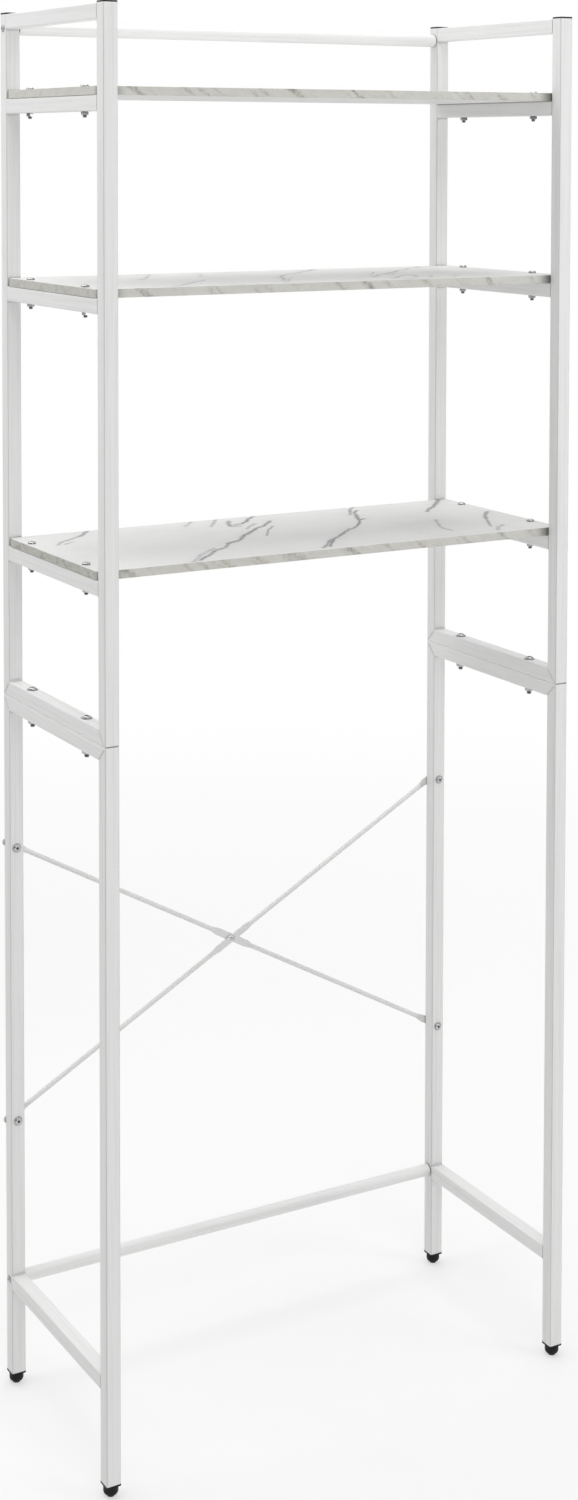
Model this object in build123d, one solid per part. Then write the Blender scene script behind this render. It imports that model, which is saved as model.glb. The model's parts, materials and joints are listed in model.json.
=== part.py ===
from build123d import *

import os
from math import atan2, copysign, cos, degrees, hypot, radians

os.makedirs("parts", exist_ok=True)

# Over-the-toilet storage rack, in millimetres.
# X runs left to right as the user faces it, Y runs front to back and Z runs up.
# The origin is on the floor, in the middle of the whole rack's footprint.

# Overall sizes
WIDTH = 640.0              # over the outer faces of the two side frames
DEPTH = 295.0              # over the front and rear posts
FRAME_TOP_Z = 1703.0       # top of the upper posts, under the caps
JOINT_Z = 870.0            # where the upper frames stand on the lower frames
FOOT_HEIGHT = 15.0         # floor to the bottom of the lower posts, feet screwed right in

# Square steel tube of the side frames
TUBE = 18.0
TUBE_WALL = 1.0
TUBE_CORNER = 1.5
BORE = TUBE - 2 * TUBE_WALL
MITRE_EDGE = 0.9           # ground off the sharp outer edge of a mitred corner

# Heights of the rails: the tops of the shelf rails, lowest shelf first, and the low rail's middle
SHELVES = {"lower": 1056.0, "middle": 1374.0, "upper": 1601.0}
LOW_RAIL_Z = 131.5

# Round tubes that tie the rear posts together
REAR_TUBE_RADIUS = 8.0
REAR_TUBE_WALL = 1.2
REAR_TUBE_HEIGHTS = {"lower": 133.0, "upper": 1686.0}
REAR_PLUG_LENGTH = 16.0
REAR_TUBE_GAP = 1.2        # the plug stands out of the tube by this much, against the post

# Shelf boards with a bonded edge band
BOARD = 10.0
EDGE_BAND = 1.0
BOARD_CORNER = 8.0
BOARD_ARRIS = 0.5
BOARD_CLEARANCE = 0.5      # gap between a board and the posts in front of and behind it

# Screws: radius of the shank, the domed head and the brim under it (0 for none), head height
# and key across flats. Nuts: radius of the thread, flats and height
SHELF_SCREW = {"shank": 2.5, "head": 4.9, "height": 2.8, "brim": 0.0, "key": 3.0}
JOINT_SCREW = {"shank": 3.0, "head": 5.25, "height": 3.2, "brim": 6.8, "key": 4.0}
BRACE_SCREW = {"shank": 2.5, "head": 4.4, "height": 2.7, "brim": 5.7, "key": 3.0}
TUBE_SCREW = {"shank": 2.5, "head": 4.3, "height": 1.6, "brim": 0.0, "key": 2.5}
BRIM_HEIGHT = 0.9
M5_NUT = {"thread": 2.5, "flats": 8.0, "height": 4.0}
M6_NUT = {"thread": 3.0, "flats": 10.0, "height": 5.0}
FIT = 0.02                 # radial gap of a nut or plug on its screw, and of a plug in its tube
HOLE_GAP = 0.3             # radial gap of a screw in a drilled hole
SHELF_SCREW_LENGTH = 35.0
JOINT_SCREW_LENGTH = 45.0
TUBE_SCREW_LENGTH = 30.0
BRACE_SCREW_LENGTH = 25.0
SCREW_SPACING = 157.0      # front to back, between the two screws of a rail
HEAD_RIM = 0.6             # straight rim under a domed head
DOME_TOP = 0.5             # radius of a domed head's flat top, as a share of the head's radius
DOME_SHOULDER = (0.82, 0.76)   # point on the dome, as shares of the head's radius and height
SOCKET_SHARE = 0.6         # depth of the key socket as a share of the head's height
THREAD_CHAMFER = 0.6
THROUGH = 100.0            # length of a drill that goes right through any one piece

# Cross brace of two round rods behind the rear posts
BRACE_LOW_Z = 336.0
BRACE_HIGH_Z = 680.0
ROD_RADIUS = 3.0
FLAT_THICK = 2.2
FLAT_WIDTH = 9.6
TAB_OVERHANG = 12.0        # tab past the screw's centre
TAB_REACH = 15.0           # tab from the screw's centre towards the middle
CROSSING_HALF = 24.0       # half the length pressed flat where the rods cross
PRESS_BLEND = 10.0         # length over which a round rod turns flat
RIVET_RADIUS = 2.0
RIVET_HEAD_RADIUS = 3.3
RIVET_HEAD_HEIGHT = 1.2
RIVET_EDGE = 0.96

# Plastic caps on the upper posts
CAP_THICK = 2.0
CAP_EDGE = 0.6
CAP_PLUG_DEPTH = 9.0
CAP_PLUG_WALL = 1.5

# Levelling feet: threaded insert in the post, threaded stud, swivelling base
INSERT_LIP = 0.3           # flange past the tube's faces
INSERT_FLANGE = 2.0
INSERT_DEPTH = 23.0
STUD_RADIUS = 4.0
STUD_TOP_Z = 45.0
COLLAR_RADIUS = 6.0
COLLAR_LOW_Z = 4.0
COLLAR_HIGH_Z = 8.0
RUNNING_GAP = 0.05         # radial and end gap of the turning stud
BASE_RADIUS = 8.8
BASE_GAP = 0.3             # gap between the base and the insert's flange
BASE_PAD_RADIUS = 4.5
BASE_PAD_HEIGHT = 1.4
BASE_SIDE_Z = 6.2          # where the rounded underside meets the straight side
BASE_BULGE = (7.6, 3.3)    # radius and height of a point on the rounded underside
BASE_EDGE = 0.6

# Places worked out from the sizes above
REAR_STACK = BRACE_SCREW_LENGTH - TUBE
FRONT_Y = -(DEPTH + REAR_STACK - INSERT_LIP) / 2
REAR_Y = FRONT_Y + DEPTH
FRONT_POST_Y = FRONT_Y + TUBE / 2
REAR_POST_Y = REAR_Y - TUBE / 2
MIDDLE_Y = (FRONT_Y + REAR_Y) / 2
POST_X = (WIDTH - TUBE) / 2
SIDES = {"left": -POST_X, "right": POST_X}
SCREW_YS = (MIDDLE_Y - SCREW_SPACING / 2, MIDDLE_Y + SCREW_SPACING / 2)
SCREW_XYS = [(x, y) for x in SIDES.values() for y in SCREW_YS]
POST_XYS = {
    "front_left": (-POST_X, FRONT_POST_Y),
    "front_right": (POST_X, FRONT_POST_Y),
    "rear_left": (-POST_X, REAR_POST_Y),
    "rear_right": (POST_X, REAR_POST_Y),
}


def square_tube(length):
    """Square tube standing on the origin."""
    outer = RectangleRounded(TUBE, TUBE, TUBE_CORNER)
    inner = RectangleRounded(BORE, BORE, TUBE_CORNER - TUBE_WALL)
    return extrude(outer - inner, length)


def post(x, y, low, high):
    return Pos(x, y, low) * square_tube(high - low)


def rail(x, middle_z, front, rear):
    """Square tube lying front to back."""
    return Pos(x, front, middle_z) * Rot(-90, 0, 0) * square_tube(rear - front)


def wedge(points):
    """Prism as wide as the rack on a triangle of (y, z) points, to saw a mitre with."""
    outline = Polyline([(y, z) for y, z in points], close=True)
    return extrude(Plane.YZ * make_face(outline), WIDTH, both=True)


def drill(shape, centre, direction, radius):
    """Hole right through the shape, along a direction."""
    return shape - Plane(centre, z_dir=direction) * Cylinder(radius, THROUGH)


def drill_rail(shape, x, z, screw_size):
    for y in SCREW_YS:
        shape = drill(shape, (x, y, z), (0, 0, 1), screw_size["shank"] + HOLE_GAP)
    return shape


def mitred_corners(edge_z, inner_z):
    """What to saw off the posts at both corners, then what to saw off the rail, edge included."""
    post_side = []
    rail_side = []
    up = copysign(MITRE_EDGE, inner_z - edge_z)
    for outer, inner in ((FRONT_Y, FRONT_Y + TUBE), (REAR_Y, REAR_Y - TUBE)):
        inwards = copysign(MITRE_EDGE, inner - outer)
        edge = wedge([(outer, edge_z), (outer + inwards, edge_z), (outer, edge_z + up)])
        post_side.append(edge + wedge([(outer, edge_z), (inner, inner_z), (inner, edge_z)]))
        rail_side.append(edge + wedge([(outer, edge_z), (outer, inner_z), (inner, inner_z)]))
    return post_side, rail_side


def upper_frame(side, x):
    """Two posts, top rail, shelf rails and mitred bottom rail, each a tube of its own."""
    parts = {}
    post_cuts, rail_cuts = mitred_corners(JOINT_Z, JOINT_Z + TUBE)
    ends = {"front": (FRONT_POST_Y, post_cuts[0]), "rear": (REAR_POST_Y, post_cuts[1])}
    for end, (y, cut) in ends.items():
        parts[f"upper_{side}_{end}_post"] = post(x, y, JOINT_Z, FRAME_TOP_Z) - cut
    rear_post = f"upper_{side}_rear_post"
    hole = (x, REAR_POST_Y, REAR_TUBE_HEIGHTS["upper"])
    parts[rear_post] = drill(parts[rear_post], hole, (1, 0, 0), TUBE_SCREW["shank"] + HOLE_GAP)

    front = FRONT_Y + TUBE
    rear = REAR_Y - TUBE
    parts[f"upper_{side}_top_rail"] = rail(x, FRAME_TOP_Z - TUBE / 2, front, rear)
    for name, top_z in SHELVES.items():
        middle_z = top_z - TUBE / 2
        shelf_rail = rail(x, middle_z, front, rear)
        parts[f"upper_{side}_{name}_shelf_rail"] = drill_rail(shelf_rail, x, middle_z, SHELF_SCREW)

    middle_z = JOINT_Z + TUBE / 2
    bottom_rail = rail(x, middle_z, FRONT_Y, REAR_Y)
    for cut in rail_cuts:
        bottom_rail -= cut
    parts[f"upper_{side}_bottom_rail"] = drill_rail(bottom_rail, x, middle_z, JOINT_SCREW)
    return parts


def lower_frame(side, x):
    """Two posts, mitred top rail and low rail, each a tube of its own."""
    parts = {}
    post_cuts, rail_cuts = mitred_corners(JOINT_Z, JOINT_Z - TUBE)
    ends = {"front": (FRONT_POST_Y, post_cuts[0]), "rear": (REAR_POST_Y, post_cuts[1])}
    for end, (y, cut) in ends.items():
        parts[f"lower_{side}_{end}_post"] = post(x, y, FOOT_HEIGHT, JOINT_Z) - cut
    rear_post = f"lower_{side}_rear_post"
    hole = (x, REAR_POST_Y, REAR_TUBE_HEIGHTS["lower"])
    parts[rear_post] = drill(parts[rear_post], hole, (1, 0, 0), TUBE_SCREW["shank"] + HOLE_GAP)
    for z in (BRACE_LOW_Z, BRACE_HIGH_Z):
        hole = (x, REAR_POST_Y, z)
        parts[rear_post] = drill(parts[rear_post], hole, (0, 1, 0), BRACE_SCREW["shank"] + HOLE_GAP)

    middle_z = JOINT_Z - TUBE / 2
    top_rail = rail(x, middle_z, FRONT_Y, REAR_Y)
    for cut in rail_cuts:
        top_rail -= cut
    parts[f"lower_{side}_top_rail"] = drill_rail(top_rail, x, middle_z, JOINT_SCREW)
    parts[f"lower_{side}_low_rail"] = rail(x, LOW_RAIL_Z, FRONT_Y + TUBE, REAR_Y - TUBE)
    return parts


def board_outline(inset):
    width = WIDTH - 2 * inset
    depth = DEPTH - 2 * TUBE - 2 * BOARD_CLEARANCE - 2 * inset
    return RectangleRounded(width, depth, BOARD_CORNER - inset)


def shelf(name, rail_top):
    """Board and the band bonded round its edge."""
    board = Pos(0, MIDDLE_Y, rail_top) * extrude(board_outline(EDGE_BAND), BOARD)
    for x, y in SCREW_XYS:
        board = drill(board, (x, y, rail_top), (0, 0, 1), SHELF_SCREW["shank"] + HOLE_GAP)
    blank = extrude(board_outline(0), BOARD)
    long_edges = blank.faces().filter_by(Axis.Z).edges()
    blank = fillet(long_edges, BOARD_ARRIS)
    band = Pos(0, MIDDLE_Y, rail_top) * (blank - extrude(board_outline(EDGE_BAND), BOARD))
    return {f"{name}_shelf_board": board, f"{name}_shelf_edge_band": band}


def screw(size, length):
    """Domed head with a hexagon socket above the origin, shank below it."""
    radius = size["head"]
    height = size["height"]
    top_edge = (DOME_TOP * radius, height)
    shoulder = (DOME_SHOULDER[0] * radius, DOME_SHOULDER[1] * height)
    rim = (radius, HEAD_RIM)
    outline = Polyline(top_edge, (0, height), (0, 0), (radius, 0), rim)
    outline += ThreePointArc(rim, shoulder, top_edge)
    head = revolve(Plane.XZ * make_face(outline), Axis.Z)
    if size["brim"]:
        head += Pos(0, 0, BRIM_HEIGHT / 2) * Cylinder(size["brim"], BRIM_HEIGHT)
    socket_depth = SOCKET_SHARE * height
    socket = extrude(RegularPolygon(size["key"] / 2, 6, major_radius=False), socket_depth)
    head -= Pos(0, 0, height - socket_depth) * socket
    shank = Pos(0, 0, -length / 2) * Cylinder(size["shank"], length)
    tip = shank.edges().sort_by(Axis.Z)[0]
    shank = chamfer(tip, THREAD_CHAMFER)
    return head + shank


def nut(size):
    """Hexagon nut standing on the origin, its corners chamfered."""
    flats = size["flats"]
    height = size["height"]
    hexagon = extrude(RegularPolygon(flats / 2, 6, major_radius=False), height)
    corner_radius = flats / 2 / cos(radians(30))
    round_blank = Pos(0, 0, height / 2) * Cylinder(corner_radius, height)
    rims = round_blank.edges().filter_by(GeomType.CIRCLE)
    round_blank = chamfer(rims, (corner_radius - flats / 2) / 2, corner_radius - flats / 2)
    bore = Pos(0, 0, height / 2) * Cylinder(size["thread"] + FIT, 2 * height)
    return (hexagon & round_blank) - bore


def screws_and_nuts(name, one_screw, heads_z, nut_size, nut_tops_z):
    """Vertical screws with their nuts below, at every screw place of every height."""
    one_nut = Pos(0, 0, -nut_size["height"]) * nut(nut_size)
    screws = [Pos(x, y, z) * one_screw for z in heads_z for x, y in SCREW_XYS]
    nuts = [Pos(x, y, z) * one_nut for z in nut_tops_z for x, y in SCREW_XYS]
    return {f"{name}_screws": Compound(screws), f"{name}_nuts": Compound(nuts)}


def rear_tubes():
    """Round tubes between the rear posts, their threaded end plugs and the screws that hold them."""
    parts = {}
    plugs = []
    screws = []
    half = WIDTH / 2 - TUBE
    plug_radius = REAR_TUBE_RADIUS - REAR_TUBE_WALL - FIT
    tube_section = Circle(REAR_TUBE_RADIUS) - Circle(REAR_TUBE_RADIUS - REAR_TUBE_WALL)
    plug_section = Circle(plug_radius) - Circle(TUBE_SCREW["shank"] + FIT)
    one_screw = screw(TUBE_SCREW, TUBE_SCREW_LENGTH)
    for name, z in REAR_TUBE_HEIGHTS.items():
        along = Pos(0, REAR_POST_Y, z) * Rot(0, 90, 0)
        parts[f"rear_{name}_tube"] = along * extrude(tube_section, half - REAR_TUBE_GAP, both=True)
        for turn in (0, 180):
            outwards = Pos(0, REAR_POST_Y, z) * Rot(0, 0, turn) * Rot(0, 90, 0)
            plug_start = Pos(0, 0, half - REAR_PLUG_LENGTH)
            plugs.append(outwards * plug_start * extrude(plug_section, REAR_PLUG_LENGTH))
            screws.append(outwards * Pos(0, 0, WIDTH / 2) * one_screw)
    parts["rear_tube_plugs"] = Compound(plugs)
    parts["rear_tube_screws"] = Compound(screws)
    return parts


def across(x, offset):
    """Plane square to a rod's length, its X across the flat and its Y through the thickness."""
    return Plane((x, 0, offset), x_dir=(0, 1, 0), z_dir=(1, 0, 0))


def brace_rod(length, offset):
    """Rod along X with its middle at the origin. Its tabs lie at Z = 0 and the rod at Z = offset."""
    half = length / 2
    round_section = Circle(ROD_RADIUS)
    flat_section = SlotOverall(FLAT_WIDTH, FLAT_THICK)
    round_start = half - TAB_REACH - PRESS_BLEND
    round_end = CROSSING_HALF + PRESS_BLEND
    rod = extrude(across(-CROSSING_HALF, offset) * flat_section, 2 * CROSSING_HALF)
    for way in (-1, 1):
        blend_out = [across(way * CROSSING_HALF, offset) * flat_section,
                     across(way * round_end, offset) * round_section]
        run = across(way * round_end, offset) * round_section
        blend_in = [across(way * round_start, offset) * round_section,
                    across(way * (half - TAB_REACH), 0) * flat_section]
        tab = SlotOverall(2 * TAB_OVERHANG, FLAT_WIDTH)
        neck = Rectangle(TAB_REACH, FLAT_WIDTH)
        tab_plate = extrude(Pos(way * half, 0) * tab, FLAT_THICK / 2, both=True)
        neck_middle = way * (half - TAB_REACH / 2)
        neck_plate = extrude(Pos(neck_middle, 0) * neck, FLAT_THICK / 2, both=True)
        rod += loft(blend_out)
        rod += extrude(run, way * (round_start - round_end))
        rod += loft(blend_in)
        rod += tab_plate + neck_plate
        rod -= Pos(way * half, 0, 0) * Cylinder(BRACE_SCREW["shank"] + HOLE_GAP, THROUGH)
    return rod - Cylinder(RIVET_RADIUS + FIT, THROUGH)


def cross_brace():
    """Two rods crossing behind the rear posts, with their rivet, screws and nuts."""
    span = 2 * POST_X
    rise = BRACE_HIGH_Z - BRACE_LOW_Z
    length = hypot(span, rise)
    slope = degrees(atan2(rise, span))
    middle_z = (BRACE_LOW_Z + BRACE_HIGH_Z) / 2
    tab_y = REAR_Y + FLAT_THICK / 2
    # Turned so that local +Z, the rod's thickness, points to the back of the rack.
    middle = Pos(0, tab_y, middle_z) * Rot(-90, 0, 0)
    offset = FLAT_THICK / 2
    parts = {
        "brace_front_rod": middle * Rot(0, 0, -slope) * brace_rod(length, -offset),
        "brace_rear_rod": middle * Rot(0, 0, slope) * brace_rod(length, offset),
    }
    dome = RIVET_HEAD_HEIGHT / 2
    head = Pos(0, 0, FLAT_THICK + dome) * Cylinder(RIVET_HEAD_RADIUS, RIVET_HEAD_HEIGHT)
    head = fillet(head.edges().group_by(Axis.Z)[-1], RIVET_EDGE)
    rivet = Cylinder(RIVET_RADIUS, 2 * FLAT_THICK) + head + mirror(head, Plane.XY)
    parts["brace_rivet"] = middle * rivet

    one_screw = screw(BRACE_SCREW, BRACE_SCREW_LENGTH)
    one_nut = nut(M5_NUT)
    places = [(x, z) for x in SIDES.values() for z in (BRACE_LOW_Z, BRACE_HIGH_Z)]
    nut_y = REAR_Y + FLAT_THICK
    screws = [Pos(x, REAR_Y - TUBE, z) * Rot(90, 0, 0) * one_screw for x, z in places]
    nuts = [Pos(x, nut_y, z) * Rot(-90, 0, 0) * one_nut for x, z in places]
    parts["brace_screws"] = Compound(screws)
    parts["brace_nuts"] = Compound(nuts)
    return parts


def post_cap():
    """Square plastic cap, its flange standing on the origin and its hollow plug below."""
    flange = extrude(RectangleRounded(TUBE, TUBE, TUBE_CORNER), CAP_THICK)
    flange = fillet(flange.edges().group_by(Axis.Z)[-1], CAP_EDGE)
    side = BORE - 2 * FIT
    hollow = side - 2 * CAP_PLUG_WALL
    corner = TUBE_CORNER - TUBE_WALL
    section = RectangleRounded(side, side, corner) - Rectangle(hollow, hollow)
    return flange + extrude(section, -CAP_PLUG_DEPTH)


def foot_insert():
    """Square threaded insert pressed into the bottom of a post."""
    lip = TUBE + 2 * INSERT_LIP
    side = BORE - 2 * FIT
    flange = extrude(RectangleRounded(lip, lip, TUBE_CORNER + INSERT_LIP), INSERT_FLANGE)
    plug = extrude(RectangleRounded(side, side, TUBE_CORNER - TUBE_WALL), INSERT_DEPTH)
    body = flange + Pos(0, 0, INSERT_FLANGE) * plug
    thread = Cylinder(STUD_RADIUS + RUNNING_GAP, THROUGH)
    return Pos(0, 0, FOOT_HEIGHT - INSERT_FLANGE) * (body - thread)


def foot_stud():
    """Threaded stud with the collar that the base holds."""
    collar_height = COLLAR_HIGH_Z - COLLAR_LOW_Z
    collar = Pos(0, 0, COLLAR_LOW_Z + collar_height / 2) * Cylinder(COLLAR_RADIUS, collar_height)
    rod_height = STUD_TOP_Z - COLLAR_HIGH_Z
    rod = Pos(0, 0, COLLAR_HIGH_Z + rod_height / 2) * Cylinder(STUD_RADIUS, rod_height)
    rod = chamfer(rod.edges().sort_by(Axis.Z)[-1], THREAD_CHAMFER)
    return collar + rod


def foot_base():
    """Round base with a rounded underside, a small flat pad and a socket for the collar."""
    top_z = FOOT_HEIGHT - INSERT_FLANGE - BASE_GAP
    pad_edge = (BASE_PAD_RADIUS, BASE_PAD_HEIGHT)
    side_start = (BASE_RADIUS, BASE_SIDE_Z)
    outline = Polyline(pad_edge, (BASE_PAD_RADIUS, 0), (0, 0), (0, top_z),
                       (BASE_RADIUS, top_z), side_start)
    outline += ThreePointArc(side_start, BASE_BULGE, pad_edge)
    body = revolve(Plane.XZ * make_face(outline), Axis.Z)
    body = fillet(body.edges().group_by(Axis.Z)[-1], BASE_EDGE)
    socket_low = COLLAR_LOW_Z - RUNNING_GAP
    socket_high = COLLAR_HIGH_Z + RUNNING_GAP
    socket_height = socket_high - socket_low
    socket = Cylinder(COLLAR_RADIUS + RUNNING_GAP, socket_height)
    body -= Pos(0, 0, socket_low + socket_height / 2) * socket
    neck_height = FOOT_HEIGHT - COLLAR_HIGH_Z
    neck = Cylinder(STUD_RADIUS + RUNNING_GAP, neck_height)
    return body - Pos(0, 0, COLLAR_HIGH_Z + neck_height / 2) * neck


def rack():
    """Every node of the rack by name."""
    parts = {}
    for side, x in SIDES.items():
        parts.update(upper_frame(side, x))
        parts.update(lower_frame(side, x))
    for name, rail_top in SHELVES.items():
        parts.update(shelf(name, rail_top))
    shelf_screw = screw(SHELF_SCREW, SHELF_SCREW_LENGTH)
    shelf_heads = [z + BOARD for z in SHELVES.values()]
    rail_bottoms = [z - TUBE for z in SHELVES.values()]
    parts.update(screws_and_nuts("shelf", shelf_screw, shelf_heads, M5_NUT, rail_bottoms))
    joint_screw = screw(JOINT_SCREW, JOINT_SCREW_LENGTH)
    parts.update(screws_and_nuts("frame", joint_screw, [JOINT_Z + TUBE], M6_NUT, [JOINT_Z - TUBE]))
    parts.update(rear_tubes())
    parts.update(cross_brace())
    for place, (x, y) in POST_XYS.items():
        parts[f"cap_{place}"] = Pos(x, y, FRAME_TOP_Z) * post_cap()
        parts[f"foot_insert_{place}"] = Pos(x, y) * foot_insert()
        parts[f"foot_stud_{place}"] = Pos(x, y) * foot_stud()
        parts[f"foot_base_{place}"] = Pos(x, y) * foot_base()
    return parts


for node, shape in rack().items():
    export_step(shape, f"parts/{node}.step")
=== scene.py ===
import json
from math import cos, pi, radians, sin

import bmesh
import bpy
from mathutils import Matrix, Vector, noise


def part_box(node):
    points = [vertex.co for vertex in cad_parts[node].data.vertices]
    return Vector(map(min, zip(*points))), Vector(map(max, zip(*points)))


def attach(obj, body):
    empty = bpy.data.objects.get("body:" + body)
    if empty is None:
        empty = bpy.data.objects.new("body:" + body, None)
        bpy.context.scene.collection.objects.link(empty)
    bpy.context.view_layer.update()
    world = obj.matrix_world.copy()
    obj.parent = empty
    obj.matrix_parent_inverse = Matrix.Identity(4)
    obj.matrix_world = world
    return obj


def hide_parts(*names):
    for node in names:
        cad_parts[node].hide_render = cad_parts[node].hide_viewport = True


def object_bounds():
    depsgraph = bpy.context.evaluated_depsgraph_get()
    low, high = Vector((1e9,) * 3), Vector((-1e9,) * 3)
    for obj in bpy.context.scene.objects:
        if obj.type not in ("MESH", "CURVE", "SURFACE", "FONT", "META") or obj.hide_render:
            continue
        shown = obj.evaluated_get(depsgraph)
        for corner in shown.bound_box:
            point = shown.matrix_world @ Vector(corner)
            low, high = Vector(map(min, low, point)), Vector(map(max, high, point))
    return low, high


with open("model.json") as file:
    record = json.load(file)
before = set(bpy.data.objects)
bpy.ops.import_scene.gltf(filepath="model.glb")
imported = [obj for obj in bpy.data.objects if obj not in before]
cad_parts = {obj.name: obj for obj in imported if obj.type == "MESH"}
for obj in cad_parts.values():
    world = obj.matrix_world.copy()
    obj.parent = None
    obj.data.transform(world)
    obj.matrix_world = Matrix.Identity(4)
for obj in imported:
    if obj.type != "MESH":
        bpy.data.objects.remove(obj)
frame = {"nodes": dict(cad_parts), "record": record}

# Over-the-toilet storage rack. Metres, in the CAD frame: X to the right, Y to the back, Z up.
CAD_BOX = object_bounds()
LOW, HIGH = CAD_BOX
MIDDLE = (LOW + HIGH) / 2

# Names of the rack's repeated parts
SIDES = ("left", "right")
ENDS = ("front", "rear")
SHELVES = ("lower", "middle", "upper")
PLACES = [f"{end}_{side}" for end in ENDS for side in SIDES]

# Camera: where it stands from the floor under the middle of the rack, and where it looks
CAMERA_SIDE = -1.3846
CAMERA_FRONT = -2.4376
CAMERA_HEIGHT = 1.5422
CAMERA_YAW = radians(29.63)
CAMERA_DOWN = radians(3.10)
CAMERA_ROLL = radians(0.10)
CAMERA_LENS = 54.55
SENSOR = 36.0
CAMERA_SHIFT = -0.3193

# How much a tube's painted reflection streaks are stretched along it
LINED = 0.02
# Powder coats: how their painted reflection streaks run, and how white they are
COATS = {
    "post": ((1, 1, LINED), 1.0),
    "rail": ((1, LINED, 1), 1.0),
    # The rods' 0.90 is painted shade: the same white coat, drawn darker for the shade the rods
    # stand in.
    "rod": ((1, 1, 1), 0.90),
    "tube": ((LINED, 1, 1), 1.0),
    "weld": ((1, 1, 1), 0.82),
}
BLACK = (0, 0, 0, 1)
WHITE = (1, 1, 1, 1)

# Screws, nuts and the rivet
RING = 36                      # points round each fastener
THREAD_RINGS = 8               # rings to one turn of a thread
SHELF_SCREW = {"radius": 0.0025, "head": 0.0049, "height": 0.0028,
               "brim": 0, "key": 0.003, "pitch": 0.0008}
JOINT_SCREW = {"radius": 0.003, "head": 0.00525, "height": 0.0032,
               "brim": 0.0068, "key": 0.004, "pitch": 0.001}
BRACE_SCREW = {"radius": 0.0025, "head": 0.0044, "height": 0.0027,
               "brim": 0.0057, "key": 0.003, "pitch": 0.0008}
TUBE_SCREW = {"radius": 0.0025, "head": 0.0043, "height": 0.0016,
              "brim": 0, "key": 0.0025, "pitch": 0.0008}
M6_NUT = {"flats": 0.010, "height": 0.005, "bore": 0.00302}
M5_NUT = {"flats": 0.008, "height": 0.004, "bore": 0.00252}
BRIM_HEIGHT = 0.0009
RIVET_HEIGHT = 0.0012
SCREW_REACH = 0.012            # a rear tube's screw reaches this far into its plug
RIVET_SHANK = 0.6              # radius as a share of the head's
RIVET_TOP = 0.35               # radius of the dome's flat top as a share of the head's
RIVET_DIMPLE = (0.18, 0.82)    # radius and height of the dimple's floor as shares of the head's
HEAD_RIM = 0.0006
SOCKET_LIP = 0.00015
NUT_FACE = 0.475               # radius of a nut's flat end as a share of its width across flats
NUT_TURNED = 0.06              # height of a nut's turned corners as a share of that width
NUT_SLOPE = 0.577              # rise of the turned cone for each step outwards
COUNTERSINK = 0.04             # depth of a nut's countersink as a share of that width
SOCKET_FLOOR = 0.4             # height of the key socket's floor as a share of the head's
SOCKET_POINT = (0.10, 0.15)    # radius and depth of the floor's hollow as shares of the key's width
DOME_TOP = 0.55                # radius of a domed head's flat top as a share of the head's
DOME_STEPS = 9
THREAD_DEPTH = 0.6             # share of the pitch
THREAD_FLAT = 0.12             # share of half a turn that is flat, at the crest and at the root
TAIL = 0.009                   # threaded length that is modelled

# Levelling stud
STUD_RADIUS = 0.004
STUD_PITCH = 0.00125
COLLAR_RADIUS = 0.006
COLLAR_HEIGHT = 0.004
COLLAR_EDGE = 0.0003

# Studio floor
FLOOR_RADIUS = 30.0
FLOOR_DROP = 0.0002            # gap under the feet, so that no two faces lie in one plane

# Painted welds
WELD_LEG = 0.0022
WELD_SINK = 0.0003
WELD_RIPPLE = 0.0016
WELD_SHARE = 0.82              # length of a weld as a share of the tube's width
SEAM_HALF = 0.0013
SEAM_HEIGHT = 0.0007
SEAM_SHARE = 1.2               # length of a mitre's seam as a share of the tube's width
BEAD_STEPS = 7                 # rings to one ripple of a bead
BEAD_SIDES = 6                 # faces round a bead
WELD_LUMPS = (260, 0.35)       # how fast a weld's leg wanders, per metre, and by what share
SEAM_LUMPS = (300, 0.4)        # the same for a seam's width
WELD_RIPPLED = 0.10            # how deep a weld's ripples are as a share of its leg
SEAM_RIPPLED = 0.25            # how deep a seam's ripples are as a share of its height
WELD_HOLLOW = 0.20             # how far a weld's face dips in between its legs, as a share of them
WELD_START = (0.35, 9)         # size of a weld at its ends, and how fast it grows from there
SEAM_START = (0.3, 6)          # the same for a seam


class Graph:
    """Short way to add nodes to a tree. An input takes a value or another node's output."""

    def __init__(self, tree):
        self.tree = tree

    def feed(self, socket, value):
        if isinstance(value, bpy.types.NodeSocket):
            self.tree.links.new(value, socket)
        else:
            socket.default_value = value

    def add(self, kind, inputs, **settings):
        made = self.tree.nodes.new("ShaderNode" + kind)
        for key, value in settings.items():
            setattr(made, key, value)
        for key, value in inputs.items():
            self.feed(made.inputs[key], value)
        return made

    def math(self, operation, *values):
        inputs = dict(enumerate(values))
        return self.add("Math", inputs, operation=operation).outputs[0]

    def vector(self, operation, *values, output=0):
        inputs = dict(enumerate(values))
        return self.add("VectorMath", inputs, operation=operation).outputs[output]

    def smooth(self, value, start, end, first=0.0, last=1.0):
        inputs = {"Value": value, "From Min": start, "From Max": end,
                  "To Min": first, "To Max": last}
        return self.add("MapRange", inputs, interpolation_type="SMOOTHSTEP").outputs[0]

    def mix(self, factor, first, second):
        made = self.add("Mix", {0: factor}, data_type="RGBA")
        self.feed(made.inputs[6], first)
        self.feed(made.inputs[7], second)
        return made.outputs[2]

    def noise(self, vector, size, detail=2.0, roughness=0.5, output=0):
        """Noise with features of about that size in metres."""
        inputs = {"Vector": vector, "Scale": 1.0 / size, "Detail": detail, "Roughness": roughness}
        return self.add("TexNoise", inputs).outputs[output]

    def place(self):
        """Point in the CAD frame, which moves with its body."""
        return self.add("TexCoord", {}).outputs["Object"]

    def crevice(self, reach, open_share, shut_share):
        """0 in the open and 1 deep in a gap or groove, from the surfaces within reach."""
        near = self.add("AmbientOcclusion", {"Distance": reach}, samples=6)
        return self.smooth(near.outputs["AO"], open_share, shut_share)

    def bump(self, height, distance, strength):
        inputs = {"Height": height, "Distance": distance, "Strength": strength}
        return self.add("Bump", inputs).outputs[0]


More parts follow.
